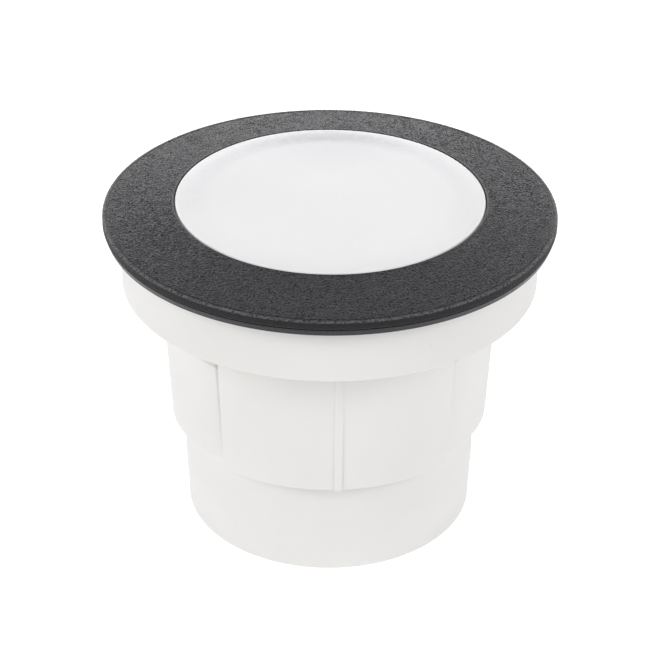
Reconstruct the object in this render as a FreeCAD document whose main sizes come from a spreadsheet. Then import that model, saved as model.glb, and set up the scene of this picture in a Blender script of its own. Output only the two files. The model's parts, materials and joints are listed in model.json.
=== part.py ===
import FreeCAD, Part
import os
import math
import Sketcher

# In-ground well light: a moulded white body with a skirted base, a stepped
# frosted lens and a wide black trim ring that locks on with four bayonet lugs.
# Millimetres. Origin on the axis, at the plane of the base rim. +Z points up.
# -Y is the front, where the body's narrow rib is.

doc = FreeCAD.newDocument("well_light")
sheet = doc.addObject("Spreadsheet::Sheet", "Params")
sheet.Label = "Params"
_row = [1]


class Q:
    """A size that is bound to the sheet: its number now, and its expression."""

    def __init__(self, v, e):
        self.v = float(v)
        self.e = e

    def __add__(self, o):
        return Q(self.v + num(o), "(%s + %s)" % (self.e, ex(o)))

    def __radd__(self, o):
        return Q(num(o) + self.v, "(%s + %s)" % (ex(o), self.e))

    def __sub__(self, o):
        return Q(self.v - num(o), "(%s - %s)" % (self.e, ex(o)))

    def __rsub__(self, o):
        return Q(num(o) - self.v, "(%s - %s)" % (ex(o), self.e))

    def __mul__(self, o):
        return Q(self.v * num(o), "(%s * %s)" % (self.e, ex(o)))

    def __rmul__(self, o):
        return Q(num(o) * self.v, "(%s * %s)" % (ex(o), self.e))

    def __truediv__(self, o):
        return Q(self.v / num(o), "(%s / %s)" % (self.e, ex(o)))

    def __neg__(self):
        return Q(-self.v, "(0 - %s)" % self.e)


def num(o):
    return o.v if isinstance(o, Q) else float(o)


def ex(o):
    return o.e if isinstance(o, Q) else ("%.6f" % o if o >= 0 else "(0 - %.6f)" % -o)


def par(name, value, note=""):
    r = _row[0]
    _row[0] += 1
    sheet.set("A%d" % r, name)
    sheet.set("B%d" % r, str(value))
    sheet.set("C%d" % r, note)
    sheet.setAlias("B%d" % r, name)
    return Q(value, "Params." + name)


# ---------------------------------------------------------------- dimensions
ring_r = par("ring_r", 80.0, "outer radius of the trim ring")
ring_edge_z = par("ring_edge_z", 119.5, "height of the ring's top face at its outer edge")
ring_hole_r = par("ring_hole_r", 54.9, "radius of the ring's window")
ring_hole_z = par("ring_hole_z", 123.2, "height of the ring's top face at the window")
ring_low_z = par("ring_low_z", 113.9, "height of the ring's lower edge")
ring_round = par("ring_round", 0.45, "radius of the rim's top corner")
skirt_ro = par("skirt_ro", 68.4, "outer radius of the ring's skirt")
skirt_ri = par("skirt_ri", 66.0, "inner radius of the ring's skirt")
skirt_z = par("skirt_z", 99.0, "lower end of the ring's skirt")
lug_r = par("lug_r", 71.0, "outer radius of the bayonet lugs")
lug_z = par("lug_z", 99.6, "underside of the bayonet lugs")
lug_t = par("lug_t", 3.4, "height of the bayonet lugs")
lug_deg = par("lug_deg", 24.0, "angle that each lug spans")
collar_z = par("collar_z", 93.2, "underside of the body's collar")
collar_top = par("collar_top", 113.5, "top edge of the body's collar")
collar_ro = par("collar_ro", 74.1, "collar's outer radius")
collar_ri = par("collar_ri", 71.4, "collar's inner radius")
wall = par("wall", 2.8, "general wall of the body")
barrel_rt = par("barrel_rt", 60.6, "barrel radius under the collar")
barrel_rb = par("barrel_rb", 57.9, "barrel radius at its lower edge")
barrel_z = par("barrel_z", 38.4, "barrel's lower edge")
cheek_c = par("cheek_c", 11.0, "offset of the cheeks' centres from the axis")
panel_deg = par("panel_deg", 86.0, "angle that the front and rear panels span")
panel_in_deg = par("panel_in_deg", 80.4, "the same angle on the inside of the wall")
rib_w = par("rib_w", 3.0, "width of the front rib")
line_d = par("line_d", 1.25, "depth of the relief line beside each panel, under the collar")
rib_p = par("rib_p", 0.6, "height of the front rib over its panel")
can_rt = par("can_rt", 53.3, "skirted base: radius at its top")
can_rb = par("can_rb", 52.7, "skirted base: radius at its foot")
can_ri = par("can_ri", 49.7, "skirted base: inner radius")
floor_z = par("floor_z", 34.0, "underside of the body's floor")
floor_t = par("floor_t", 3.0, "thickness of the body's floor")
seat_z = par("seat_z", 110.5, "top of the seal seat")
seat_ro = par("seat_ro", 65.2, "outer radius of the seal seat")
gask_ri = par("gask_ri", 58.6, "inner radius of the lens seal")
gask_ro = par("gask_ro", 62.2, "outer radius of the lens seal")
lens_z = par("lens_z", 113.2, "underside of the lens flange")
lens_ft = par("lens_ft", 3.0, "thickness of the lens flange")
lens_fr = par("lens_fr", 64.6, "radius of the lens flange")
lens_pr = par("lens_pr", 54.55, "radius of the raised lens face")
lens_pz = par("lens_pz", 123.25, "height of the raised lens face at its edge")
lens_crown = par("lens_crown", 1.5, "rise of the lens face at its centre")
lens_t = par("lens_t", 3.0, "thickness of the raised lens face")
post_pcr = par("post_pcr", 41.0, "radius of the circle of the three floor posts")
plate_z = par("plate_z", 58.0, "underside of the gear plate")
plate_t = par("plate_t", 3.0, "thickness of the gear plate")
plate_r = par("plate_r", 49.3, "radius of the gear plate")
hold_r = par("hold_r", 36.0, "radius of the lampholder")
hold_h = par("hold_h", 11.0, "height of the lampholder")
pin_pcr = par("pin_pcr", 26.5, "radius of the circle of the lamp's two pins")
lamp_r = par("lamp_r", 37.3, "radius of the lamp")
lamp_z = par("lamp_z", 72.4, "rear face of the lamp")
lamp_h = par("lamp_h", 25.8, "depth of the lamp's case")
gland_x = par("gland_x", 24.0, "distance of the cable entries from the axis")
entry_r = par("entry_r", 10.0, "radius of the cable entries")
cable_r = par("cable_r", 4.25, "radius of the hole in the gland's seal")

FINAL = []


# ---------------------------------------------------------------- primitives
def _set(obj, prop, q):
    setattr(obj, prop, num(q))
    if isinstance(q, Q):
        obj.setExpression(prop, q.e)


def place(obj, x=0, y=0, z=0, axis=(0, 0, 1), deg=0.0):
    obj.Placement = FreeCAD.Placement(
        FreeCAD.Vector(num(x), num(y), num(z)),
        FreeCAD.Rotation(FreeCAD.Vector(*axis), deg),
    )
    for n, q in (("x", x), ("y", y), ("z", z)):
        if isinstance(q, Q):
            obj.setExpression(".Placement.Base." + n, q.e)
    return obj


def cyl(name, r, h, x=0, y=0, z=0, axis=(0, 0, 1), deg=0.0, span=None):
    o = doc.addObject("Part::Cylinder", name)
    _set(o, "Radius", r)
    _set(o, "Height", h)
    if span is not None:
        _set(o, "Angle", span)
    return place(o, x, y, z, axis, deg)


def cone(name, r1, r2, h, x=0, y=0, z=0, axis=(0, 0, 1), deg=0.0, span=None):
    o = doc.addObject("Part::Cone", name)
    _set(o, "Radius1", r1)
    _set(o, "Radius2", r2)
    _set(o, "Height", h)
    if span is not None:
        _set(o, "Angle", span)
    return place(o, x, y, z, axis, deg)


def box(name, lx, ly, lz, x=0, y=0, z=0, axis=(0, 0, 1), deg=0.0):
    o = doc.addObject("Part::Box", name)
    _set(o, "Length", lx)
    _set(o, "Width", ly)
    _set(o, "Height", lz)
    return place(o, x, y, z, axis, deg)


def prism(name, n, r, h, x=0, y=0, z=0, deg=0.0):
    o = doc.addObject("Part::Prism", name)
    o.Polygon = n
    _set(o, "Circumradius", r)
    _set(o, "Height", h)
    return place(o, x, y, z, (0, 0, 1), deg)


def fuse(name, parts):
    o = doc.addObject("Part::MultiFuse", name)
    o.Shapes = parts
    return o


def cut(name, a, b):
    o = doc.addObject("Part::Cut", name)
    o.Base = a
    o.Tool = b
    return o


def common(name, a, b):
    o = doc.addObject("Part::Common", name)
    o.Base = a
    o.Tool = b
    return o


def group(name, parts):
    o = doc.addObject("Part::Compound", name)
    o.Links = parts
    return o


def keep(obj, label):
    """Marks a finished sub-part. Its Label names its file."""
    obj.Label = label
    FINAL.append(obj)
    return obj


def plane(body, role):
    for f in body.Origin.OriginFeatures:
        if getattr(f, "Role", "") == role:
            return f
    raise RuntimeError("no origin plane " + role)


def profile(sk, pts):
    """Closed outline of lines, and of arcs where a point carries a radius.
    A point is (x, y) or (x, y, radius, side): side 1 puts the arc's centre to the
    left of the way from the point before, -1 to its right."""
    n = len(pts)
    geo = []
    for i in range(n):
        a = pts[i]
        b = pts[(i + 1) % n]
        pa = FreeCAD.Vector(num(a[0]), num(a[1]), 0)
        pb = FreeCAD.Vector(num(b[0]), num(b[1]), 0)
        if len(b) > 2:
            r = num(b[2])
            m = (pa + pb) * 0.5
            d = pb - pa
            left = FreeCAD.Vector(-d.y, d.x, 0).normalize()
            h = math.sqrt(max(r * r - d.Length * d.Length / 4, 0))
            c = m + left * (h * b[3])
            bulge = c - left * (b[3] * r)
            # arcs are always drawn anticlockwise, as the sketch counts their ends
            geo.append(Part.Arc(pa, bulge, pb) if b[3] > 0 else Part.Arc(pb, bulge, pa))
        else:
            geo.append(Part.LineSegment(pa, pb))
    ids = []
    for g in geo:
        ids.append(sk.addGeometry(g, False))
    # which end of each edge is the outline's start of that edge
    ends = []
    for i in range(n):
        gi = sk.Geometry[ids[i]]
        pa = FreeCAD.Vector(num(pts[i][0]), num(pts[i][1]), 0)
        if (gi.StartPoint - pa).Length < 1e-6:
            ends.append((1, 2))
        else:
            ends.append((2, 1))
    for i in range(n):
        j = (i + 1) % n
        sk.addConstraint(
            Sketcher.Constraint("Coincident", ids[i], ends[i][1], ids[j], ends[j][0])
        )
    for i in range(n):
        g, e = ids[i], ends[i][0]
        for k, word in ((0, "DistanceX"), (1, "DistanceY")):
            q = pts[i][k]
            if abs(num(q)) < 1e-9:
                sk.addConstraint(
                    Sketcher.Constraint("PointOnObject", g, e, -2 if k == 0 else -1)
                )
                continue
            c = sk.addConstraint(Sketcher.Constraint(word, -1, 1, g, e, num(q)))
            if isinstance(q, Q):
                sk.setExpression("Constraints[%d]" % c, q.e)
        b = pts[(i + 1) % n]
        if len(b) > 2:
            c = sk.addConstraint(Sketcher.Constraint("Radius", ids[i], num(b[2])))
            if isinstance(b[2], Q):
                sk.setExpression("Constraints[%d]" % c, b[2].e)


def turned(label, pts, x=0, y=0, z=0):
    """A PartDesign body: one outline in the XZ plane, revolved about Z."""
    body = doc.addObject("PartDesign::Body", label + "_body")
    sk = body.newObject("Sketcher::SketchObject", label + "_outline")
    sk.AttachmentSupport = [(plane(body, "XZ_Plane"), "")]
    sk.MapMode = "FlatFace"
    profile(sk, pts)
    rv = body.newObject("PartDesign::Revolution", label + "_turn")
    rv.Profile = sk
    rv.ReferenceAxis = (sk, ["V_Axis"])
    rv.Angle = 360.0
    body.Tip = rv
    place(body, x, y, z)
    return body


def plan_sketch(body, label, pts, z):
    """A sketch on the body's XY plane, lifted to height z."""
    sk = body.newObject("Sketcher::SketchObject", label)
    sk.AttachmentSupport = [(plane(body, "XY_Plane"), "")]
    sk.MapMode = "FlatFace"
    sk.AttachmentOffset = FreeCAD.Placement(
        FreeCAD.Vector(0, 0, num(z)), FreeCAD.Rotation()
    )
    if isinstance(z, Q):
        sk.setExpression(".AttachmentOffset.Base.z", z.e)
    profile(sk, pts)
    return sk


def sector(ri, ro, mid_deg, span_deg):
    """Outline of a piece of a ring, about the axis."""
    a0 = math.radians(mid_deg - span_deg / 2.0)
    a1 = math.radians(mid_deg + span_deg / 2.0)
    c0, s0, c1, s1 = math.cos(a0), math.sin(a0), math.cos(a1), math.sin(a1)
    return [
        (ri * c0, ri * s0),
        (ro * c0, ro * s0),
        (ro * c1, ro * s1, ro, 1),
        (ri * c1, ri * s1),
    ], (ri * c0, ri * s0, ri, -1)


def sector_pts(ri, ro, mid_deg, span_deg):
    pts, close = sector(ri, ro, mid_deg, span_deg)
    pts[0] = close
    return pts


# ---------------------------------------------------------------- trim ring
# Revolved cap: a shallow cone towards the window, a crisp corner, a short stepped
# rim, a deep skirt and an inner rib that presses the upper seal on the lens.
slope = (ring_edge_z - ring_hole_z) / (ring_r - ring_round - ring_hole_r)
trim = turned(
    "trim_ring",
    [
        (ring_hole_r, ring_hole_z - 0.35),
        (ring_hole_r + 0.35, ring_hole_z, 0.36, -1),
        (ring_r - ring_round, ring_edge_z),
        (ring_r, ring_edge_z - ring_round, ring_round + 0.01, -1),
        (ring_r, ring_low_z + 3.0),
        (ring_r - 0.2, ring_low_z + 2.8),
        (ring_r - 0.9, ring_low_z + 0.6),
        (ring_r - 1.5, ring_low_z, 0.61, -1),
        (skirt_ro + 1.2, ring_low_z),
        (skirt_ro, ring_low_z - 1.2),
        (skirt_ro, skirt_z + 0.4),
        (skirt_ro - 0.4, skirt_z),
        (skirt_ri, skirt_z),
        (skirt_ri, ring_low_z + 4.3),
        (skirt_ri - 2.4, ring_low_z + 4.3),
        (skirt_ri - 2.4, ring_low_z + 2.9),
        (skirt_ri - 5.4, ring_low_z + 2.9),
        (skirt_ri - 5.4, ring_low_z + 5.4),
        (ring_hole_r + 1.6, ring_low_z + 6.0),
        (ring_hole_r, ring_hole_z - 2.1),
    ],
)
lug_sk = plan_sketch(trim, "lug_outline", sector_pts(skirt_ro - 1.0, lug_r, 45.0, lug_deg.v), lug_z)
lug = trim.newObject("PartDesign::Pad", "lug")
lug.Profile = lug_sk
_set(lug, "Length", lug_t)
doc.recompute()
lugs = trim.newObject("PartDesign::PolarPattern", "lugs")
lugs.Originals = [lug]
lugs.Axis = (lug_sk, ["N_Axis"])
lugs.Angle = 360.0
lugs.Occurrences = 4
trim.Tip = lugs
keep(trim, "trim_ring")

# ---------------------------------------------------------------- lens
# Stepped frosted lens: a thin flange on the seal and a raised face that fills
# the ring's window, slightly domed, with more fall near its edge. Two notches in
# the flange key it to the body.
lens_body = turned(
    "lens",
    [
        (0, lens_pz + lens_crown),
        (2.0, lens_pz + lens_crown),
        (44.0, lens_pz + lens_crown - 0.65, 1357.0, -1),
        (lens_pr - 0.45, lens_pz, 93.5, -1),
        (lens_pr, lens_pz - 0.45, 0.46, -1),
        (lens_pr, lens_z + lens_ft),
        (lens_fr, lens_z + lens_ft),
        (lens_fr, lens_z),
        (lens_pr - lens_t, lens_z),
        (lens_pr - lens_t, lens_pz - lens_t - 1.0),
        (lens_pr - lens_t - 1.0, lens_pz - lens_t, 1.0, 1),
        (0, lens_pz - lens_t),
    ],
)
notches = fuse(
    "lens_notches",
    [
        box("lens_notch_a", 4.0, 8.8, lens_ft + 2, x=lens_fr - 2.2, y=-4.4, z=lens_z - 1),
        box("lens_notch_b", 4.0, 8.8, lens_ft + 2, x=-(lens_fr + 1.8), y=-4.4, z=lens_z - 1),
    ],
)
keep(cut("lens_cut", lens_body, notches), "lens")

# seals above and below the lens flange
keep(
    turned(
        "upper_seal",
        [
            (skirt_ri - 5.3, lens_z + lens_ft + 0.05),
            (skirt_ri - 2.5, lens_z + lens_ft + 0.05),
            (skirt_ri - 2.5, ring_low_z + 2.9),
            (skirt_ri - 5.3, ring_low_z + 2.9),
        ],
    ),
    "upper_seal",
)
keep(
    turned(
        "lens_seal",
        [
            (gask_ri + 0.1, seat_z - 1.2),
            (gask_ro - 0.1, seat_z - 1.2),
            (gask_ro - 0.1, lens_z - 0.55),
            (gask_ro - 0.6, lens_z - 0.05),
            (gask_ri + 0.6, lens_z - 0.05),
            (gask_ri + 0.1, lens_z - 0.55),
        ],
    ),
    "lens_seal",
)

# ---------------------------------------------------------------- body
# Revolved shell: skirted base, floor, collar, trough and the seal seat.
# The barrel between base and collar is added by booleans, since it isn't round.
shell = turned(
    "housing_shell",
    [
        (can_rb - 1.0, 0),
        (can_rb, 1.0, 1.02, 1),
        (can_rb + 0.1, 7.0),
        (can_rb + 0.25, 10.0),
        (can_rb + 0.55, 16.0),
        (can_rb + 0.7, 19.5),
        (can_rt, barrel_z + 1.5),
        (can_rt, collar_z + 1.0),
        (collar_ro - 0.5, collar_z),
        (collar_ro, collar_z + 0.5, 0.52, 1),
        (collar_ro, collar_top - 0.4),
        (collar_ro - 0.4, collar_top),
        (collar_ri + 0.3, collar_top),
        (collar_ri, collar_top - 0.3),
        (collar_ri, collar_z + 3.0),
        (barrel_rt, collar_z + 3.0),
        (barrel_rt, seat_z - 3.6),
        (barrel_rt + 1.5, seat_z - 2.6),
        (seat_ro, seat_z - 2.6),
        (seat_ro, seat_z),
        (gask_ro, seat_z),
        (gask_ro, seat_z - 1.2),
        (gask_ri, seat_z - 1.2),
        (gask_ri, seat_z),
        (barrel_rt - wall, seat_z),
        (barrel_rt - wall, collar_z + 3.0),
        (can_ri + 0.9, collar_z + 3.0),
        (can_ri + 0.9, floor_z + floor_t),
        (0, floor_z + floor_t),
        (0, floor_z),
        (can_ri, floor_z),
        (can_ri - 0.3, 0.0),
    ],
)
cheek_rt = barrel_rt - cheek_c
cheek_rb = barrel_rb - cheek_c
bh = collar_z - barrel_z + 1.0
grow = (barrel_rt - barrel_rb) / (collar_z - barrel_z)
half = panel_deg / 2.0


def barrel_solid(tag, inset, z0, h, span):
    rb = barrel_rb - inset + grow * (num(z0) - barrel_z.v)
    rt = barrel_rb - inset + grow * (num(z0) + num(h) - barrel_z.v)
    s = span.v
    f = cone(tag + "_front", rb, rt, h, z=z0, deg=-90.0 - s / 2.0, span=span)
    r = cone(tag + "_rear", rb, rt, h, z=z0, deg=90.0 - s / 2.0, span=span)
    cr = cone(tag + "_cheek_r", rb - cheek_c, rt - cheek_c, h, x=cheek_c, z=z0)
    cl = cone(tag + "_cheek_l", rb - cheek_c, rt - cheek_c, h, x=-cheek_c, z=z0)
    return fuse(tag, [f, r, cr, cl])


barrel_full = barrel_solid("barrel", 0.0, barrel_z, bh, panel_deg)
# a thin relief line on the cheek beside each panel edge, shallower downwards
edge_r = math.sin(math.radians(half.v)) * cheek_c.v
line_rb = edge_r + math.sqrt(edge_r ** 2 + cheek_rb.v ** 2 - cheek_c.v ** 2)
line_rt = edge_r + math.sqrt(edge_r ** 2 + cheek_rt.v ** 2 - cheek_c.v ** 2)
lines = []
for i, start in enumerate((-47.15, -134.1, 45.9, 132.85)):
    o = doc.addObject("Part::Cone", "line_sector_%d" % i)
    o.Radius1, o.Radius2 = 62.0, 64.0
    _set(o, "Height", bh)
    o.Angle = 1.25
    lines.append(place(o, z=barrel_z + 1.0, deg=start))
line_core = doc.addObject("Part::Cone", "line_core")
_set(line_core, "Radius1", cheek_rb + (line_rb - cheek_rb.v - 0.25))
_set(line_core, "Radius2", cheek_rt - line_d + (line_rt - cheek_rt.v))
_set(line_core, "Height", bh)
place(line_core, z=barrel_z + 1.0)
barrel_out = cut("barrel_lined", barrel_full, cut("line_tools", fuse("line_sectors", lines), line_core))
barrel_in = barrel_solid("barrel_hollow", wall, barrel_z + 3.0, collar_z - barrel_z - 3.4, panel_in_deg)

# narrow tapered rib down the middle of the front and rear panels
ribs = []
for tag, sgn in (("front", -1), ("rear", 1)):
    o = doc.addObject("Part::Wedge", "rib_" + tag)
    # a wedge that is wider and stands further out at the collar
    o.Xmin, o.Xmax = 0.0, 6.0
    o.Ymin, o.Ymax = 0.0, num(bh)
    o.Zmin, o.Zmax = -1.3, 1.3
    o.X2min, o.X2max = 0.0, 6.0
    o.Z2min, o.Z2max = -1.7, 1.7
    o.setExpression("Ymax", bh.e)
    # local Y up, local X radially outwards
    m = FreeCAD.Rotation(
        FreeCAD.Vector(0, sgn, 0),
        FreeCAD.Vector(0, 0, 1),
        FreeCAD.Vector(sgn, 0, 0),
        "XYZ",
    )
    tilt = FreeCAD.Rotation(FreeCAD.Vector(1, 0, 0), sgn * -2.3)
    base = barrel_rb.v + rib_p.v - 6.0
    o.Placement = FreeCAD.Placement(
        FreeCAD.Vector(0, sgn * base, barrel_z.v), tilt.multiply(m)
    )
    doc.recompute()
    # the rib's two long outer edges are softened
    soft = doc.addObject("Part::Fillet", "rib_soft_" + tag)
    soft.Base = o
    outer = o.Placement.multVec(FreeCAD.Vector(6.0, 0, 0)).y * sgn
    picks = []
    for k, e in enumerate(o.Shape.Edges):
        ends = [v.Point.y * sgn for v in e.Vertexes]
        if e.Length > 40.0 and min(ends) > outer - 3.5 and e.CenterOfMass.y * sgn > base + 3.0:
            picks.append((k + 1, 0.4, 0.4))
    soft.Edges = picks
    print("rib edges softened", len(picks))
    ribs.append(soft)

# posts for the gear plate
posts = []
for i, a in enumerate((30.0, 150.0, 270.0)):
    c, s = math.cos(math.radians(a)), math.sin(math.radians(a))
    posts.append(
        cyl("post_%d" % i, 4.5, plate_z - floor_z - 1.0, x=post_pcr * c, y=post_pcr * s, z=floor_z + 1.0)
    )
    posts.append(
        box("post_web_%d" % i, 9.5, 2.0, plate_z - floor_z - 9.0, x=post_pcr * c - 1.0 * -s, y=post_pcr * s - 1.0 * c, z=floor_z + 1.0, deg=a)
    )

# bosses round the two cable entries, on top of the floor
for tag, sx in (("a", 1), ("b", -1)):
    posts.append(cyl("entry_boss_" + tag, 14.6, 1.2, x=gland_x * sx, z=floor_z + floor_t - 0.2))

# two keys that keep the lens from turning
keys = [
    box("key_a", 1.6, 8.0, 5.6, x=lens_fr - 1.8, y=-4.0, z=seat_z - 0.6),
    box("key_b", 1.6, 8.0, 5.6, x=-(lens_fr - 0.2), y=-4.0, z=seat_z - 0.6),
]

# four bayonet hooks in the trough, each with a stop where the lug ends
hooks = []
for i in range(4):
    a = 45.0 + 90.0 * i
    hooks.append(
        cyl("hook_%d" % i, collar_ri + 1.0, 3.2, z=lug_z + lug_t + 0.4, deg=a - 15.5, span=28.5)
    )
    hooks.append(
        cyl("stop_%d" % i, collar_ri + 1.0, lug_z + lug_t + 3.0 - collar_z - 2.0, z=collar_z + 2.0, deg=a - 15.5, span=3.0)
    )
    hooks.append(
        cyl("open_stop_%d" % i, collar_ri + 1.0, lug_z + lug_t - collar_z - 2.0, z=collar_z + 2.0, deg=a + 40.6, span=2.4)
    )
hook_ring = cut("hook_ring", fuse("hooks", hooks), cyl("hook_bore", skirt_ro + 0.4, 60.0, z=collar_z - 5.0))

solid_body = fuse(
    "housing_solid",
    [shell, barrel_out] + ribs + keys + [hook_ring],
)
hollow_cut = cut("housing_hollowed", solid_body, fuse("hollows", [barrel_in, cyl("can_hollow", can_ri + 0.9, collar_z - floor_z - floor_t + 4.0, z=floor_z + floor_t)]))
with_posts = fuse("housing_posts", [hollow_cut] + posts)

drills = []
for i, a in enumerate((30.0, 150.0, 270.0)):
    c, s = math.cos(math.radians(a)), math.sin(math.radians(a))
    drills.append(cyl("post_hole_%d" % i, 1.6, 12.0, x=post_pcr * c, y=post_pcr * s, z=plate_z - 12.0))
for tag, sx in (("a", 1), ("b", -1)):
    drills.append(cyl("entry_" + tag, entry_r, 12.0, x=gland_x * sx, z=floor_z - 3.0))
for i, a in enumerate((0.0, 90.0, 180.0, 270.0)):
    c, s = math.cos(math.radians(a + 4.0)), math.sin(math.radians(a + 4.0))
    drills.append(cyl("drain_%d" % i, 2.2, 8.0, x=66.5 * c, y=66.5 * s, z=collar_z - 2.0))
for i, a in enumerate((47.5, 132.5, 227.5, 312.5)):
    c, s = math.cos(math.radians(a)), math.sin(math.radians(a))
    drills.append(cyl("reflector_hole_%d" % i, 1.25, 7.0, x=54.9 * c, y=54.9 * s, z=collar_z + 3.0 - 6.0))
# arched notch at the rear of the base, where the supply cable leaves
drills.append(box("cable_notch_box", 14.0, 12.0, 7.0, x=-7.0, y=can_ri - 5.0, z=-1.0))
drills.append(cyl("cable_notch_arch", 7.0, 12.0, y=can_ri + 7.0, z=6.0, axis=(1, 0, 0), deg=90.0))
# small, shallow moulding dimple on the collar, to the right of the rib
pa = math.radians(23.5)
dimple = doc.addObject("Part::Sphere", "dimple")
_set(dimple, "Radius", 1.2)
place(dimple, x=(collar_ro + 1.02) * math.sin(pa), y=-((collar_ro + 1.02) * math.cos(pa)), z=103.2)
drills.append(dimple)
moulded = cut("housing_cut", with_posts, fuse("housing_drills", drills))

# The body is two mouldings. The base, with the skirt, the floor and the posts,
# plugs into the barrel with a thin spigot just inside the barrel's lower edge.
spigot_r = can_rt - 1.5
base_space = fuse(
    "base_space",
    [
        cyl("base_space_low", 70.0, barrel_z + 1.0, z=-1.0),
        cyl("base_space_spigot", spigot_r, 4.0, z=barrel_z - 1.0),
        cyl("base_space_posts", can_ri + 0.85, plate_z - floor_z, z=floor_z + 2.0),
    ],
)
keep(common("base_moulding", moulded, base_space), "base")
keep(cut("housing_moulding", moulded, base_space), "housing")

# ---------------------------------------------------------------- reflector
refl = turned(
    "reflector",
    [
        (39.0, collar_z + 3.0),
        (56.6, collar_z + 3.0),
        (56.6, collar_z + 4.8),
        (42.2, collar_z + 4.8),
        (56.8, seat_z - 1.4),
        (56.8, seat_z - 0.4),
        (55.9, seat_z - 0.4),
        (39.0, collar_z + 5.6),
    ],
)
refl_holes = []
for i, a in enumerate((47.5, 132.5, 227.5, 312.5)):
    c, s = math.cos(math.radians(a)), math.sin(math.radians(a))
    refl_holes.append(cyl("refl_hole_%d" % i, 1.6, 4.0, x=54.9 * c, y=54.9 * s, z=collar_z + 2.0))
    refl_holes.append(cyl("refl_access_%d" % i, 2.9, 20.0, x=54.9 * c, y=54.9 * s, z=collar_z + 4.8))
keep(cut("reflector_cut", refl, fuse("refl_holes", refl_holes)), "reflector")


def screw(tag, x, y, z, r, length, head_r, head_h, down=True):
    """Pan-head screw with a cross recess. z is the plane under its head."""
    sh = cyl(tag + "_shank", r, length + 0.1, x=x, y=y, z=z - length)
    hd = cyl(tag + "_head", head_r, head_h * 0.62, x=x, y=y, z=z)
    dm = cone(tag + "_dome", head_r, head_r * 0.62, head_h * 0.38, x=x, y=y, z=z + head_h * 0.62)
    w = head_r * 0.26
    a = box(tag + "_slot_a", head_r * 1.25, w, head_h, x=x - head_r * 0.625, y=y - w / 2.0, z=z + head_h * 0.45)
    b = box(tag + "_slot_b", w, head_r * 1.25, head_h, x=x - w / 2.0, y=y - head_r * 0.625, z=z + head_h * 0.45)
    return cut(tag, fuse(tag + "_blank", [sh, hd, dm]), fuse(tag + "_cross", [a, b]))


keep(
    group(
        "reflector_screw_set",
        [
            screw("reflector_screw_%d" % i, 54.9 * math.cos(math.radians(a)), 54.9 * math.sin(math.radians(a)), collar_z + 4.8, 1.2, 6.2, 2.2, 1.8)
            for i, a in enumerate((47.5, 132.5, 227.5, 312.5))
        ],
    ),
    "reflector_screws",
)

# ---------------------------------------------------------------- gear plate
gp = turned(
    "gear_plate",
    [
        (0, plate_z),
        (plate_r - 0.5, plate_z),
        (plate_r, plate_z + 0.5),
        (plate_r, plate_z + plate_t + 3.0),
        (plate_r - 1.8, plate_z + plate_t + 3.0),
        (plate_r - 1.8, plate_z + plate_t),
        (0, plate_z + plate_t),
    ],
)
gp_holes = []
for i, a in enumerate((30.0, 150.0, 270.0)):
    c, s = math.cos(math.radians(a)), math.sin(math.radians(a))
    gp_holes.append(cyl("plate_hole_%d" % i, 1.9, 6.0, x=post_pcr * c, y=post_pcr * s, z=plate_z - 1.0))
for i, x in enumerate((-26.5, 26.5)):
    gp_holes.append(cyl("plate_wire_hole_%d" % i, 2.5, 6.0, x=x, y=11.5 if x > 0 else -11.5, z=plate_z - 1.0))
for i, y in enumerate((-24.0, 24.0)):
    gp_holes.append(cyl("plate_holder_hole_%d" % i, 1.45, 6.0, x=0.0, y=y, z=plate_z - 1.0))
for i, x in enumerate((-12.5, 12.5)):
    gp_holes.append(cyl("plate_block_hole_%d" % i, 1.25, 6.0, x=x, y=0.0, z=plate_z - 1.0))
keep(cut("gear_plate_cut", gp, fuse("gear_plate_holes", gp_holes)), "gear_plate")

keep(
    group(
        "gear_plate_screw_set",
        [
            screw("gear_plate_screw_%d" % i, post_pcr * math.cos(math.radians(a)), post_pcr * math.sin(math.radians(a)), plate_z + plate_t, 1.6, 11.0, 3.4, 2.4)
            for i, a in enumerate((30.0, 150.0, 270.0))
        ],
    ),
    "gear_plate_screws",
)

# ---------------------------------------------------------------- lampholder
hz = plate_z + plate_t
holder = turned(
    "lampholder",
    [
        (0, hz + hold_h - 3.0),
        (hold_r - 2.4, hz + hold_h - 3.0),
        (hold_r - 2.4, hz),
        (hold_r, hz),
        (hold_r, hz + hold_h - 1.0),
        (hold_r - 1.0, hz + hold_h, 1.02, 1),
        (0, hz + hold_h),
    ],
)
# pillars for the two fixing screws
pillars = [cyl("holder_pillar_%d" % i, 3.6, hold_h - 2.0, y=y, z=hz) for i, y in enumerate((-24.0, 24.0))]
hub = cyl("holder_hub", 9.0, hold_h - 2.0, z=hz)
hcuts = []
TURN = 15.0
for i, base in enumerate((0.0, 180.0)):
    # wide end of the keyhole, TURN degrees round from where the pin locks
    a = math.radians(base + TURN)
    hcuts.append(cyl("key_wide_%d" % i, 4.6, 5.0, x=pin_pcr * math.cos(a), y=pin_pcr * math.sin(a), z=hz + hold_h - 4.0))
    hcuts.append(
        cut(
            "key_slot_%d" % i,
            cyl("key_slot_o_%d" % i, pin_pcr + 2.8, 5.0, z=hz + hold_h - 4.0, deg=base, span=TURN),
            cyl("key_slot_i_%d" % i, pin_pcr - 2.8, 6.0, z=hz + hold_h - 4.5),
        )
    )
    a = math.radians(base)
    hcuts.append(cyl("key_end_%d" % i, 2.8, 5.0, x=pin_pcr * math.cos(a), y=pin_pcr * math.sin(a), z=hz + hold_h - 4.0))
for i, y in enumerate((-24.0, 24.0)):
    hcuts.append(cyl("holder_screw_bore_%d" % i, 1.7, hold_h + 2.0, y=y, z=hz - 1.0))
    hcuts.append(cyl("holder_screw_sink_%d" % i, 3.1, 4.0, y=y, z=hz + hold_h - 2.2))
keep(cut("lampholder_cut", fuse("lampholder_solid", [holder, hub] + pillars), fuse("lampholder_cuts", hcuts)), "lampholder")

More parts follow.
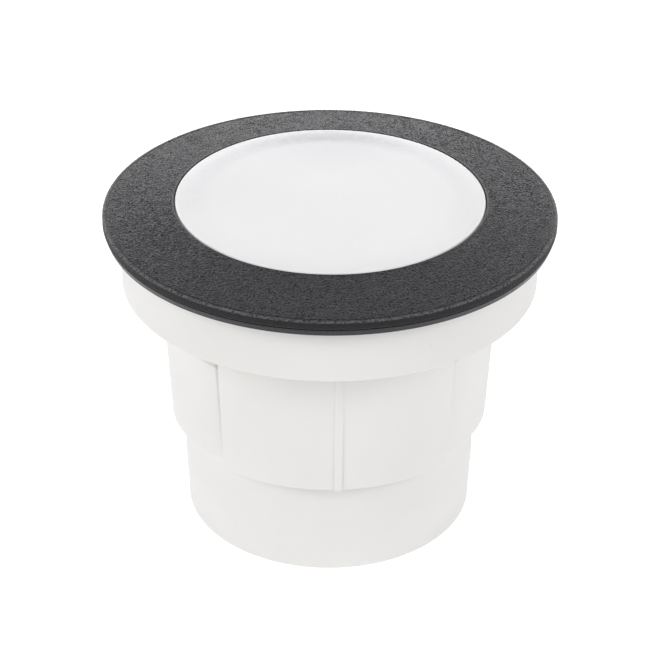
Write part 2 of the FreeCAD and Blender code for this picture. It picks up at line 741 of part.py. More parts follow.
keep(
    group(
        "lampholder_screw_set",
        [screw("lampholder_screw_%d" % i, 0.0, y, hz + hold_h - 2.2, 1.45, hold_h + 0.6, 2.8, 1.8) for i, y in enumerate((-24.0, 24.0))],
    ),
    "lampholder_screws",
)

# spring contacts under the locked ends of the keyhole slots
contacts = []
for i, sx in enumerate((1, -1)):
    blade = box("contact_blade_%d" % i, 0.6, 9.0, 5.6, x=(pin_pcr + 4.5) * sx - 0.3, y=-4.5, z=hz)
    foot = box("contact_foot_%d" % i, 6.0, 10.5, 0.6, x=pin_pcr * sx - (1.2 if sx > 0 else 4.8), y=-3.0 if sx > 0 else -7.5, z=hz)
    contacts.append(fuse("contact_%d" % i, [blade, foot]))
keep(group("contact_set", contacts), "lampholder_contacts")

# ---------------------------------------------------------------- lamp
lz = lamp_z
case = (
    turned(
        "lamp_case",
        [
            (0, lz),
            (34.0, lz),
            (34.5, lz + 0.5),
            (34.5, lz + 6.0),
            (lamp_r, lz + 9.0),
            (lamp_r, lz + lamp_h - 0.8),
            (lamp_r - 0.8, lz + lamp_h, 0.82, 1),
            (lamp_r - 2.1, lz + lamp_h),
            (lamp_r - 2.1, lz + lamp_h - 3.0),
            (lamp_r - 2.6, lz + lamp_h - 3.0),
            (lamp_r - 2.6, lz + 10.0),
            (32.0, lz + 7.4),
            (32.0, lz + 2.4),
            (0, lz + 2.4),
        ],
    )
)
stands = [cyl("case_pillar_%d%d" % (i, j), 1.6, 2.4, x=x, y=y, z=lz + 2.0) for i, x in enumerate((-18.0, 18.0)) for j, y in enumerate((-12.0, 12.0))]
case_holes = [cyl("case_hole_%d" % i, 2.5, 4.0, x=pin_pcr * sx, z=lz - 0.5) for i, sx in enumerate((1, -1))]
keep(cut("lamp_case_cut", fuse("lamp_case_solid", [case] + stands), fuse("case_holes", case_holes)), "lamp_case")
keep(
    turned(
        "lamp_diffuser",
        [
            (0, lz + lamp_h - 1.6),
            (lamp_r - 4.2, lz + lamp_h - 1.6),
            (lamp_r - 4.2, lz + lamp_h - 3.0),
            (lamp_r - 2.15, lz + lamp_h - 3.0),
            (lamp_r - 2.15, lz + lamp_h - 0.4),
            (lamp_r - 4.6, lz + lamp_h + 1.0, 2.5, 1),
            (0, lz + lamp_h + 1.0),
        ],
    ),
    "lamp_diffuser",
)
keep(
    turned(
        "lamp_heat_spreader",
        [
            (0, lz + 14.4),
            (lamp_r - 4.4, lz + 14.4),
            (lamp_r - 4.4, lz + 10.6),
            (lamp_r - 2.7, lz + 10.6),
            (lamp_r - 2.7, lz + 16.0),
            (0, lz + 16.0),
        ],
    ),
    "lamp_heat_spreader",
)
keep(cyl("led_board_disc", 33.0, 1.6, z=lz + 16.0), "led_board")
chips = []
for ring, (rr, count) in enumerate(((10.0, 5), (19.0, 10), (27.5, 15))):
    for i in range(count):
        a = 360.0 * i / count
        c, s = math.cos(math.radians(a)), math.sin(math.radians(a))
        hx, hy = 1.75, 1.4
        chips.append(
            box("led_%d_%d" % (ring, i), 2 * hx, 2 * hy, 0.8, x=rr * c - (hx * c - hy * s), y=rr * s - (hx * s + hy * c), z=lz + 17.6, deg=a)
        )
keep(group("led_set", chips), "leds")

drv = cut(
    "driver_board_cut",
    cyl("driver_board_disc", 27.0, 1.6, z=lz + 4.4),
    fuse("driver_board_flats", [box("driver_flat_a", 60.0, 10.0, 4.0, x=-30.0, y=20.0, z=lz + 3.0), box("driver_flat_b", 60.0, 10.0, 4.0, x=-30.0, y=-30.0, z=lz + 3.0)]),
)
keep(drv, "driver_board")
dz = lz + 6.0
keep(
    group(
        "driver_part_set",
        [
            cyl("capacitor_a", 4.0, 7.6, x=-14.0, y=8.0, z=dz),
            cyl("capacitor_b", 2.5, 6.0, x=-15.0, y=-8.0, z=dz),
            box("transformer", 12.0, 11.0, 7.4, x=-3.0, y=-5.5, z=dz),
            box("bridge", 6.0, 4.6, 2.4, x=13.0, y=4.0, z=dz),
            box("inductor", 6.0, 6.0, 5.0, x=13.0, y=-10.0, z=dz),
            box("film_capacitor", 7.4, 3.6, 6.8, x=-4.0, y=10.0, z=dz),
            cyl("fuse_resistor", 1.7, 8.0, x=2.0, y=-12.0, z=dz + 1.7, axis=(0, 1, 0), deg=90.0),
        ],
    ),
    "driver_parts",
)
pins = []
for i, sx in enumerate((1, -1)):
    x = pin_pcr * sx
    pins.append(
        fuse(
            "lamp_pin_%d" % i,
            [
                cyl("pin_neck_%d" % i, 2.5, 8.6, x=x, z=lz - 5.0),
                cyl("pin_head_%d" % i, 3.9, 2.2, x=x, z=lz - 6.9),
                cone("pin_tip_%d" % i, 2.9, 3.9, 1.0, x=x, z=lz - 7.9),
            ],
        )
    )
keep(group("lamp_pin_set", pins), "lamp_pins")

# ---------------------------------------------------------------- terminals
tb_z = plate_z - 12.0
tb = box("block_core", 32.0, 16.0, 12.0, x=-16.0, y=-8.0, z=tb_z)
tcuts = []
sleeves = []
for i, x in enumerate((-6.0, 6.0)):
    tcuts.append(cyl("block_wire_bore_%d" % i, 2.0, 20.0, x=x, y=10.0, z=tb_z + 5.0, axis=(1, 0, 0), deg=90.0))
    tcuts.append(cyl("block_sleeve_bore_%d" % i, 3.0, 13.8, x=x, y=6.9, z=tb_z + 5.0, axis=(1, 0, 0), deg=90.0))
    sleeves.append(
        cut(
            "sleeve_%d" % i,
            cyl("sleeve_o_%d" % i, 2.98, 13.7, x=x, y=6.85, z=tb_z + 5.0, axis=(1, 0, 0), deg=90.0),
            fuse(
                "sleeve_bores_%d" % i,
                [cyl("sleeve_i_%d" % i, 1.9, 15.0, x=x, y=7.5, z=tb_z + 5.0, axis=(1, 0, 0), deg=90.0)]
                + [cyl("sleeve_tap_%d_%d" % (i, j), 2.02, 4.0, x=x, y=y, z=tb_z + 1.0) for j, y in enumerate((-4.4, 4.4))],
            ),
        )
    )
keep(group("terminal_sleeve_set", sleeves), "terminal_sleeves")
for i, x in enumerate((-6.0, 6.0)):
    for j, y in enumerate((-4.4, 4.4)):
        tcuts.append(cyl("block_screw_bore_%d_%d" % (i, j), 2.1, 4.6, x=x, y=y, z=tb_z - 1.0))
for i, x in enumerate((-12.5, 12.5)):
    tcuts.append(cyl("block_fix_bore_%d" % i, 1.25, 14.0, x=x, y=0.0, z=tb_z - 1.0))
    tcuts.append(cyl("block_fix_sink_%d" % i, 2.4, 3.0, x=x, y=0.0, z=tb_z - 1.0))
tcuts.append(box("block_gap", 1.2, 18.0, 3.5, x=-0.6, y=-9.0, z=tb_z - 1.0))
keep(cut("terminal_block_cut", tb, fuse("terminal_block_cuts", tcuts)), "terminal_block")

tscrews = []
for i, x in enumerate((-6.0, 6.0)):
    for j, y in enumerate((-4.4, 4.4)):
        t = cyl("tscrew_%d_%d" % (i, j), 2.0, 2.6, x=x, y=y, z=tb_z + 0.5)
        g = box("tscrew_slot_%d_%d" % (i, j), 4.4, 0.7, 1.0, x=x - 2.2, y=y - 0.35, z=tb_z + 0.1)
        tscrews.append(cut("terminal_screw_%d_%d" % (i, j), t, g))
keep(group("terminal_screw_set", tscrews), "terminal_screws")

fix = []
for i, x in enumerate((-12.5, 12.5)):
    fix.append(
        fuse(
            "block_fix_%d" % i,
            [cyl("block_fix_shank_%d" % i, 1.2, plate_z + plate_t - tb_z - 2.0, x=x, z=tb_z + 1.9), cyl("block_fix_head_%d" % i, 2.3, 1.4, x=x, z=tb_z + 0.6)],
        )
    )
keep(group("block_fix_set", fix), "terminal_block_screws")


def lead(name, pts, r):
    """Insulated lead: straight runs joined by tangent arcs, and its round section."""
    path = []
    last = FreeCAD.Vector(*pts[0])
    for i in range(1, len(pts) - 1):
        p, a, b = FreeCAD.Vector(*pts[i]), FreeCAD.Vector(*pts[i - 1]), FreeCAD.Vector(*pts[i + 1])
        da, db = (a - p), (b - p)
        la, lb = da.Length, db.Length
        da.normalize()
        db.normalize()
        turn = math.pi - da.getAngle(db)
        rad = 0.45 * min(la, lb) / math.tan(turn / 2.0)
        t = rad * math.tan(turn / 2.0)
        s, e = p + da * t, p + db * t
        bis = (da + db).normalize()
        mid = p + bis * (rad / math.cos(turn / 2.0) - rad)
        path.append(Part.LineSegment(last, s).toShape())
        path.append(Part.Arc(s, mid, e).toShape())
        print("lead %s radius %.1f" % (name, rad))
        last = e
    path.append(Part.LineSegment(last, FreeCAD.Vector(*pts[-1])).toShape())
    w = Part.Wire(path)
    d = FreeCAD.Vector(*pts[1]) - FreeCAD.Vector(*pts[0])
    c = Part.Wire(Part.Circle(FreeCAD.Vector(*pts[0]), d, r).toShape())
    s = w.makePipeShell([c], True, True)
    print("lead %s volume %.1f of %.1f" % (name, s.Volume, math.pi * r * r * w.Length))
    f = doc.addObject("Part::Feature", name)
    f.Shape = s
    return f


wz = tb_z.v + 4.2
end_z = hz.v + 1.7
route = [
    (6.0, 5.2, wz),
    (6.0, 15.5, wz),
    (14.5, 17.5, wz),
    (22.0, 15.0, wz + 0.4),
    (26.5, 12.0, wz + 5.3),
    (26.5, 12.0, plate_z.v + 2.0),
    (27.2, 8.9, hz.v + 1.9),
    (27.6, 5.4, end_z),
]
keep(lead("lead_live_pipe", route, 1.0), "lead_live")
keep(lead("lead_neutral_pipe", [(-x, -y, z) for x, y, z in route], 1.0), "lead_neutral")

# ---------------------------------------------------------------- cable gland
gx = gland_x
flange = prism("gland_hex", 6, 13.6, 5.0, x=gx, z=floor_z - 6.0, deg=0.0)
stub_up = cyl("gland_stub", entry_r - 0.1, 15.2, x=gx, z=floor_z - 5.0)
stub_dn = cyl("gland_collet", 9.6, 7.0, x=gx, z=floor_z - 12.5)
gl_bore = cyl("gland_bore", 7.9, 10.0, x=gx, z=floor_z - 13.5)
gl_bore2 = cyl("gland_bore_up", 6.2, 30.0, x=gx, z=floor_z - 6.0)
slits = [box("gland_slit_%d" % i, 22.0, 1.2, 4.4, x=gx - 11.0 * math.cos(math.radians(a)) + 0.6 * math.sin(math.radians(a)), y=-11.0 * math.sin(math.radians(a)) - 0.6 * math.cos(math.radians(a)), z=floor_z - 13.0, deg=a) for i, a in enumerate((0.0, 45.0, 90.0, 135.0))]
keep(cut("gland_body_cut", fuse("gland_body_solid", [flange, stub_up, stub_dn]), fuse("gland_body_cuts", [gl_bore, gl_bore2] + slits)), "gland_body")
keep(cut("gland_washer_cut", cyl("gland_washer_o", 12.6, 1.0, x=gx, z=floor_z - 1.0), cyl("gland_washer_i", entry_r - 0.1, 3.0, x=gx, z=floor_z - 2.0)), "gland_washer")
keep(cut("gland_seal_cut", cyl("gland_seal_o", 7.8, 9.6, x=gx, z=floor_z - 16.0), cyl("gland_seal_i", cable_r, 20.0, x=gx, z=floor_z - 20.0)), "gland_seal")
nut_hex = prism("gland_nut_hex", 6, 13.6, 8.6, x=gx, z=floor_z - 15.2)
nut_dome = cone("gland_nut_dome", 8.6, 11.4, 5.0, x=gx, z=floor_z - 20.0)
nut_in = cyl("gland_nut_in", 9.9, 12.0, x=gx, z=floor_z - 16.0)
nut_mouth = cyl("gland_nut_mouth", 6.4, 10.0, x=gx, z=floor_z - 21.0)
keep(cut("gland_nut_cut", fuse("gland_nut_solid", [nut_hex, nut_dome]), fuse("gland_nut_cuts", [nut_in, nut_mouth])), "gland_nut")
keep(cut("gland_locknut_cut", prism("gland_locknut_hex", 6, 13.6, 4.4, x=gx, z=floor_z + floor_t + 1.0), cyl("gland_locknut_i", entry_r - 0.1, 8.0, x=gx, z=floor_z + floor_t)), "gland_locknut")

# second entry, closed with a plug for wiring on to the next light
pl = [
    prism("plug_hex", 6, 13.6, 4.0, x=-gx, z=floor_z - 5.0),
    cyl("plug_stub", entry_r - 0.1, 12.0, x=-gx, z=floor_z - 3.0),
]
keep(cut("blanking_plug_cut", fuse("blanking_plug_solid", pl), box("plug_coin_slot", 14.0, 2.2, 3.0, x=-gx - 7.0, y=-1.1, z=floor_z - 6.6)), "blanking_plug")
keep(cut("plug_washer_cut", cyl("plug_washer_o", 12.6, 1.0, x=-gx, z=floor_z - 1.0), cyl("plug_washer_i", entry_r - 0.1, 3.0, x=-gx, z=floor_z - 2.0)), "plug_washer")
keep(cut("plug_locknut_cut", prism("plug_locknut_hex", 6, 13.6, 4.4, x=-gx, z=floor_z + floor_t + 1.0), cyl("plug_locknut_i", entry_r - 0.1, 8.0, x=-gx, z=floor_z + floor_t)), "plug_locknut")

# ---------------------------------------------------------------- write
doc.recompute()
bad = [(o.Name, o.getStatusString()) for o in doc.Objects if "Invalid" in o.State or "Error" in o.State]
if bad:
    raise SystemExit("failed objects: %s" % bad)
os.makedirs("parts", exist_ok=True)
for f in os.listdir("parts"):
    if f.endswith(".step"):
        os.remove(os.path.join("parts", f))
for o in FINAL:
    s = o.Shape
    if s.isNull() or not s.isValid() or not s.Solids:
        raise SystemExit("bad shape: %s null %s valid %s" % (o.Label, s.isNull(), s.isValid()))
    b = s.BoundBox
    print("%-22s solids %2d vol %9.1f  x %.1f..%.1f y %.1f..%.1f z %.1f..%.1f" % (o.Label, len(s.Solids), s.Volume, b.XMin, b.XMax, b.YMin, b.YMax, b.ZMin, b.ZMax))
for o in FINAL:
    o.Shape.exportStep("parts/%s.step" % o.Label)
print("wrote", len(FINAL))
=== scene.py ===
import json
import math
import bmesh
import bpy
import numpy as np
from mathutils import Matrix, Quaternion, Vector


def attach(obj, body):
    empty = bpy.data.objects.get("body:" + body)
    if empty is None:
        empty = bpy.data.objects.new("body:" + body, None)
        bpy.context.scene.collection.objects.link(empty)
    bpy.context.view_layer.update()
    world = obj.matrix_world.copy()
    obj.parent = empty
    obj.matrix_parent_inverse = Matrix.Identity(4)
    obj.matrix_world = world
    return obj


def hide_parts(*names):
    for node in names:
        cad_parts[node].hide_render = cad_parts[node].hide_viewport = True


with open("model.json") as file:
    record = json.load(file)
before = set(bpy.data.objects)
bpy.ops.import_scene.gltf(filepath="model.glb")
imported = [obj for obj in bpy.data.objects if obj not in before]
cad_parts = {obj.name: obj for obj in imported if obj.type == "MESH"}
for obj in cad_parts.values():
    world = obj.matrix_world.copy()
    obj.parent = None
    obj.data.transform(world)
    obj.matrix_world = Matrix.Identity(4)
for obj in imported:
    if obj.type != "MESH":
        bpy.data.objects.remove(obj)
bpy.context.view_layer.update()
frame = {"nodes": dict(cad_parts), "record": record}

FLOOR_GLOW = 0.49
NODES = frame["nodes"]
scene = bpy.context.scene


# ------------------------------------------------------------------ node help
class Mat:
    """A small builder for node materials."""

    def __init__(self, name):
        self.m = bpy.data.materials.new(name)
        self.m.use_nodes = True
        self.t = self.m.node_tree
        self.t.nodes.clear()
        self.out = self.add("ShaderNodeOutputMaterial")
        self.b = self.add("ShaderNodeBsdfPrincipled")
        self.t.links.new(self.b.outputs[0], self.out.inputs[0])
        self.co = self.add("ShaderNodeTexCoord").outputs["Object"]

    def add(self, kind, **props):
        n = self.t.nodes.new(kind)
        for k, v in props.items():
            setattr(n, k, v)
        return n

    def link(self, a, b):
        self.t.links.new(a, b)

    def put(self, socket, v):
        if isinstance(v, bpy.types.NodeSocket):
            self.link(v, socket)
        else:
            socket.default_value = v

    def noise(self, scale, detail=3.0, rough=0.5, vec=None, distort=0.0):
        n = self.add("ShaderNodeTexNoise")
        self.link(vec or self.co, n.inputs["Vector"])
        n.inputs["Scale"].default_value = scale
        n.inputs["Detail"].default_value = detail
        n.inputs["Roughness"].default_value = rough
        n.inputs["Distortion"].default_value = distort
        return n.outputs[0]

    def voronoi(self, scale, feature="F1", vec=None, smooth=None, rand=1.0):
        n = self.add("ShaderNodeTexVoronoi", feature=feature)
        self.link(vec or self.co, n.inputs["Vector"])
        n.inputs["Scale"].default_value = scale
        n.inputs["Randomness"].default_value = rand
        if smooth is not None and "Smoothness" in n.inputs:
            n.inputs["Smoothness"].default_value = smooth
        return n.outputs["Distance"]

    def math(self, op, a, b=0.0, clamp=False):
        n = self.add("ShaderNodeMath", operation=op, use_clamp=clamp)
        self.put(n.inputs[0], a)
        self.put(n.inputs[1], b)
        if op == "MULTIPLY_ADD":
            n.inputs[2].default_value = b
        return n.outputs[0]

    def ramp(self, v, stops):
        n = self.add("ShaderNodeValToRGB")
        self.link(v, n.inputs[0])
        e = n.color_ramp.elements
        while len(e) > 1:
            e.remove(e[-1])
        e[0].position = stops[0][0]
        e[0].color = (*stops[0][1], 1)
        for p, c in stops[1:]:
            x = e.new(p)
            x.color = (*c, 1)
        return n.outputs[0]

    def remap(self, v, a, b, c, d, smooth=False):
        n = self.add("ShaderNodeMapRange")
        if smooth:
            n.interpolation_type = "SMOOTHSTEP"
        self.link(v, n.inputs[0])
        for i, x in enumerate((a, b, c, d)):
            n.inputs[i + 1].default_value = x
        return n.outputs[0]

    def mix(self, f, a, b):
        n = self.add("ShaderNodeMix", data_type="RGBA")
        self.put(n.inputs[0], f)
        for sock, v in ((n.inputs[6], a), (n.inputs[7], b)):
            self.put(sock, v if isinstance(v, bpy.types.NodeSocket) else (*v, 1))
        return n.outputs[2]

    def bump(self, height, strength=0.3, dist=0.0002, after=None):
        n = self.add("ShaderNodeBump")
        n.inputs["Strength"].default_value = strength
        n.inputs["Distance"].default_value = dist
        self.link(height, n.inputs["Height"])
        if after is not None:
            self.link(after, n.inputs["Normal"])
        self.link(n.outputs[0], self.b.inputs["Normal"])
        return n.outputs[0]

    def xyz(self):
        n = self.add("ShaderNodeSeparateXYZ")
        self.link(self.co, n.inputs[0])
        return n.outputs

    def base(self, v):
        self.put(self.b.inputs["Base Color"], v if isinstance(v, bpy.types.NodeSocket) else (*v, 1))

    def rough(self, v):
        self.put(self.b.inputs["Roughness"], v)

    def set(self, **kw):
        for k, v in kw.items():
            s = self.b.inputs[k.replace("_", " ")]
            s.default_value = v


def srgb(r, g, b):
    f = lambda c: c / 12.92 if c <= 0.04045 else ((c + 0.055) / 1.055) ** 2.4
    return tuple(f(c / 255.0) for c in (r, g, b))


# ------------------------------------------------------------------ materials
def body_resin():
    """White moulded resin: fine satin spark texture, faint flow mottling and a
    little handling dust that settles near the foot."""
    m = Mat("body_resin")
    flow = m.noise(14.0, 4.0, 0.55, distort=0.6)
    fine = m.noise(260.0, 3.0, 0.6)
    x, y, z = m.xyz()["X"], m.xyz()["Y"], m.xyz()["Z"]
    low = m.remap(z, 0.0, 0.03, 1.0, 0.0, smooth=True)
    # the relief line beside each panel edge: real relief in the bump, and painted shade in its colour, darkest under
    # the collar
    turn = m.math("ARCTAN2", m.math("ABSOLUTE", x), m.math("ABSOLUTE", y))
    line = m.math("MULTIPLY", m.remap(turn, 0.8055, 0.8085, 0.0, 1.0, smooth=True), m.remap(turn, 0.8285, 0.8335, 1.0, 0.0, smooth=True))
    line = m.math("MULTIPLY", line, m.remap(z, 0.040, 0.090, 0.05, 1.0))
    line = m.math("MULTIPLY", line, m.remap(z, 0.0931, 0.0935, 1.0, 0.0))
    line = m.math("MULTIPLY", line, m.remap(z, 0.0386, 0.0392, 0.0, 1.0))
    c = m.mix(m.remap(flow, 0.3, 0.7, 0.0, 1.0), srgb(214, 213, 211), srgb(218, 217, 216))
    scuff = m.math("MULTIPLY", m.remap(m.noise(90.0, 5.0, 0.65), 0.56, 0.74, 0.0, 1.0, smooth=True), low)
    c = m.mix(m.math("MULTIPLY", scuff, 0.35), c, srgb(201, 200, 197))
    # painted shade: the relief line's colour is darkened, most towards the collar
    c = m.mix(m.math("MULTIPLY", line, 0.34), c, srgb(120, 114, 108))
    # painted shadow of the collar in the wedge-shaped corner between the collar and the end of the panel
    hem = m.math("SUBTRACT", z, m.math("MULTIPLY", m.math("SUBTRACT", turn, 0.806), 0.0045))
    wedge = m.math("MULTIPLY", m.remap(hem, 0.0768, 0.0774, 0.0, 1.0, smooth=True), m.remap(turn, 0.800, 0.806, 0.0, 1.0))
    wedge = m.math("MULTIPLY", wedge, m.remap(turn, 0.82, 1.02, 1.0, 0.0))
    wedge = m.math("MULTIPLY", wedge, m.remap(z, 0.0931, 0.0935, 1.0, 0.0))
    c = m.mix(m.math("MULTIPLY", wedge, 0.3), c, srgb(120, 114, 108))
    m.base(c)
    m.rough(m.remap(m.math("ADD", m.math("MULTIPLY", fine, 0.5), m.math("MULTIPLY", flow, 0.5)), 0.3, 0.7, 0.44, 0.58))
    m.set(Subsurface_Weight=0.12, Subsurface_Radius=(1.0, 0.95, 0.9), Subsurface_Scale=0.0015, IOR=1.49, Specular_IOR_Level=0.28)
    b = m.bump(m.noise(1500.0, 2.0, 0.5), 0.12, 0.00005)
    b = m.bump(flow, 0.05, 0.0004, after=b)
    m.bump(m.math("SUBTRACT", 1.0, line), 0.5, 0.0003, after=b)
    return m.m


def ring_resin():
    """Black resin with a pebbled grain. The larger grain is in the mesh; the nodes add the fine stipple between it, a
    painted highlight along the top outer corner, painted dark reflection on the upper wall, and a smooth lower rim."""
    m = Mat("ring_resin")
    x, y, z = m.xyz()["X"], m.xyz()["Y"], m.xyz()["Z"]
    r = m.math("SQRT", m.math("ADD", m.math("MULTIPLY", x, x), m.math("MULTIPLY", y, y)))
    low = m.remap(z, 0.1168, 0.1170, 1.0, 0.0, smooth=True)
    band = m.math("MULTIPLY", m.remap(r, 0.07985, 0.07995, 0.0, 1.0), m.remap(z, 0.1168, 0.1170, 0.0, 1.0))
    dots = m.voronoi(1650.0, rand=1.0)
    stip = m.remap(dots, 0.1, 0.62, 1.0, 0.0, smooth=True)
    fine = m.noise(3200.0, 3.0, 0.6)
    mid = m.noise(1250.0, 3.0, 0.65)
    cloud = m.noise(30.0, 3.0, 0.5)
    c = m.mix(m.remap(mid, 0.40, 0.60, 0.0, 1.0), srgb(9, 8, 11), srgb(64, 62, 67))
    c = m.mix(m.math("MULTIPLY", m.remap(cloud, 0.35, 0.7, 0.0, 1.0), 0.25), c, srgb(50, 49, 52))
    c = m.mix(m.math("MULTIPLY", stip, 0.45), c, srgb(76, 74, 80))
    # painted highlight: the top outer corner is lightened, flecked with the grain
    edge_highlight = m.math("MULTIPLY", m.remap(r, 0.0791, 0.0793, 0.0, 1.0), m.remap(z, 0.1190, 0.1192, 0.0, 1.0))
    # painted dark reflection: the upper outer wall is darkened to near black, eased to grey just above the fine step
    dark = m.math("MULTIPLY", m.remap(r, 0.0781, 0.0783, 0.0, 1.0), m.math("SUBTRACT", 1.0, edge_highlight))
    c = m.mix(m.math("MULTIPLY", dark, 0.85), c, srgb(7, 7, 8))
    upper = m.math("MULTIPLY", dark, m.remap(z, 0.1174, 0.1178, 1.0, 0.0))
    c = m.mix(m.math("MULTIPLY", upper, 0.5), c, srgb(34, 32, 36))
    c = m.mix(m.math("MULTIPLY", edge_highlight, m.remap(mid, 0.44, 0.56, 0.1, 1.0)), c, srgb(92, 89, 96))
    c = m.mix(low, c, srgb(34, 32, 37))
    m.base(c)
    rough = m.remap(m.math("ADD", m.math("MULTIPLY", fine, 0.5), m.math("MULTIPLY", mid, 0.5)), 0.35, 0.65, 0.2, 0.5)
    rough = m.math("ADD", rough, m.math("MULTIPLY", band, 0.25))
    m.rough(rough)
    m.set(IOR=1.5, Specular_IOR_Level=0.3)
    inner = m.math("SUBTRACT", 1.0, low)
    h = m.math("ADD", m.math("MULTIPLY", stip, 0.75), m.math("MULTIPLY", fine, 0.25))
    b = m.bump(m.math("MULTIPLY", h, inner), 1.0, 0.00018)
    m.bump(m.math("MULTIPLY", mid, inner), 0.85, 0.0003, after=b)
    return m.m


def lens_opal():
    """Frosted opal lens: milky, soft sheen, fine sandblasted tooth."""
    m = Mat("lens_opal")
    milk = m.noise(22.0, 3.0, 0.5)
    fine = m.noise(1300.0, 3.0, 0.6)
    c = m.mix(m.remap(milk, 0.3, 0.7, 0.0, 1.0), srgb(243, 242, 243), srgb(247, 246, 247))
    # painted shade: greyer towards the far (+y) side and towards the rim, with a grained grey band near the far rim
    x, y = m.xyz()["X"], m.xyz()["Y"]
    r = m.math("SQRT", m.math("ADD", m.math("MULTIPLY", x, x), m.math("MULTIPLY", y, y)))
    c = m.mix(m.math("MULTIPLY", m.remap(y, -0.045, 0.0, 0.0, 1.0, smooth=True), 0.09), c, srgb(196, 195, 200))
    turn = m.math("DIVIDE", y, m.math("MAXIMUM", r, 0.001))
    side = m.math("MULTIPLY", m.math("POWER", m.math("MULTIPLY_ADD", turn, 0.5), 11.0), 0.75)
    side = m.math("ADD", side, m.remap(turn, -0.7, 0.5, 0.0, 0.3))
    wide = m.math("MULTIPLY", m.remap(r, 0.012, 0.047, 0.0, 1.0), 0.42)
    ridge = m.math("MULTIPLY", m.remap(r, 0.0400, 0.0468, 0.0, 1.0, smooth=True), m.remap(r, 0.0485, 0.0535, 1.0, 0.25, smooth=True))
    far_shade = m.math("MULTIPLY", m.math("ADD", wide, m.math("MULTIPLY", ridge, m.remap(m.noise(520.0, 3.0, 0.6), 0.35, 0.65, 0.46, 0.76))), side)
    c = m.mix(far_shade, c, srgb(196, 195, 200))
    # painted highlight: a thin white line round the lens edge
    c = m.mix(m.remap(r, 0.0536, 0.0540, 0.0, 1.0), c, srgb(254, 254, 254))
    m.base(c)
    m.rough(m.remap(fine, 0.3, 0.7, 0.3, 0.42))
    m.set(Subsurface_Weight=0.5, Subsurface_Radius=(1.0, 1.0, 1.0), Subsurface_Scale=0.003, IOR=1.58, Specular_IOR_Level=0.4)
    tooth = m.noise(900.0, 2.0, 0.55)
    b = m.bump(fine, 0.35, 0.00006)
    m.bump(tooth, 0.5, 0.00012, after=b)
    return m.m


def rubber(name, col=(34, 34, 35)):
    m = Mat(name)
    bloom = m.noise(120.0, 4.0, 0.6)
    c = m.mix(m.remap(bloom, 0.4, 0.75, 0.0, 1.0), srgb(*col), srgb(*[min(255, int(v * 1.45)) for v in col]))
    m.base(c)
    m.rough(m.remap(bloom, 0.3, 0.7, 0.62, 0.8))
    m.bump(m.noise(900.0, 3.0, 0.6), 0.2, 0.00008)
    return m.m


def plastic(name, a, b, rough=(0.3, 0.45), scale=60.0, grain=900.0, strength=0.12, sss=0.0):
    m = Mat(name)
    n = m.noise(scale, 4.0, 0.55, distort=0.4)
    f = m.noise(grain, 3.0, 0.6)
    m.base(m.mix(m.remap(n, 0.3, 0.7, 0.0, 1.0), srgb(*a), srgb(*b)))
    m.rough(m.remap(m.math("ADD", m.math("MULTIPLY", n, 0.5), m.math("MULTIPLY", f, 0.5)), 0.3, 0.7, *rough))
    if sss:
        m.set(Subsurface_Weight=sss, Subsurface_Radius=(1.0, 0.9, 0.8), Subsurface_Scale=0.002)
    m.bump(f, strength, 0.00006)
    return m.m


def metal(name, a, b, rough=(0.22, 0.4), brushed=0.0, scale=160.0):
    m = Mat(name)
    v = m.co
    if brushed:
        mp = m.add("ShaderNodeMapping")
        m.link(m.co, mp.inputs["Vector"])
        mp.inputs["Scale"].default_value = (1.0, brushed, brushed)
        v = mp.outputs[0]
    n = m.noise(scale, 4.0, 0.6, vec=v)
    tarnish = m.noise(70.0, 3.0, 0.5)
    m.base(m.mix(m.remap(tarnish, 0.35, 0.7, 0.0, 1.0), srgb(*a), srgb(*b)))
    m.set(Metallic=1.0)
    m.rough(m.remap(n, 0.3, 0.7, *rough))
    m.bump(n, 0.15, 0.00004)
    return m.m


def laminate():
    m = Mat("driver_laminate")
    weave = m.add("ShaderNodeTexWave", wave_type="BANDS", bands_direction="X")
    m.link(m.co, weave.inputs["Vector"])
    weave.inputs["Scale"].default_value = 700.0
    w2 = m.add("ShaderNodeTexWave", wave_type="BANDS", bands_direction="Y")
    m.link(m.co, w2.inputs["Vector"])
    w2.inputs["Scale"].default_value = 700.0
    cells = m.voronoi(420.0, rand=0.15)
    c = m.mix(m.math("MULTIPLY", weave.outputs[1], w2.outputs[1]), srgb(24, 84, 46), srgb(32, 104, 58))
    c = m.mix(m.remap(cells, 0.10, 0.16, 1.0, 0.0), c, srgb(196, 190, 170))
    m.base(c)
    m.rough(m.remap(m.noise(300.0), 0.3, 0.7, 0.28, 0.42))
    m.bump(m.math("ADD", weave.outputs[1], w2.outputs[1]), 0.1, 0.00003)
    return m.m


def led_board():
    """White solder mask with faint copper tracks showing through."""
    m = Mat("led_board_white")
    x, y = m.xyz()["X"], m.xyz()["Y"]
    r = m.math("SQRT", m.math("ADD", m.math("MULTIPLY", x, x), m.math("MULTIPLY", y, y)))
    tracks = m.math("SINE", m.math("MULTIPLY", r, 1450.0))
    c = m.mix(m.remap(tracks, 0.78, 0.86, 0.0, 1.0), srgb(240, 240, 237), srgb(226, 222, 208))
    c = m.mix(m.math("MULTIPLY", m.remap(m.noise(200.0), 0.4, 0.7, 0.0, 1.0), 0.3), c, srgb(233, 233, 230))
    m.base(c)
    m.rough(m.remap(m.noise(500.0), 0.3, 0.7, 0.26, 0.4))
    m.bump(m.remap(tracks, 0.78, 0.86, 0.0, 1.0), 0.15, 0.00003)
    return m.m


def phosphor():
    m = Mat("led_phosphor")
    n = m.noise(2400.0, 2.0, 0.5)
    m.base(m.mix(m.remap(n, 0.35, 0.65, 0.0, 1.0), srgb(238, 205, 82), srgb(246, 222, 120)))
    m.rough(m.remap(n, 0.3, 0.7, 0.25, 0.45))
    m.set(Subsurface_Weight=0.3, Subsurface_Radius=(1.0, 0.8, 0.3), Subsurface_Scale=0.001)
    m.bump(n, 0.2, 0.00004)
    return m.m


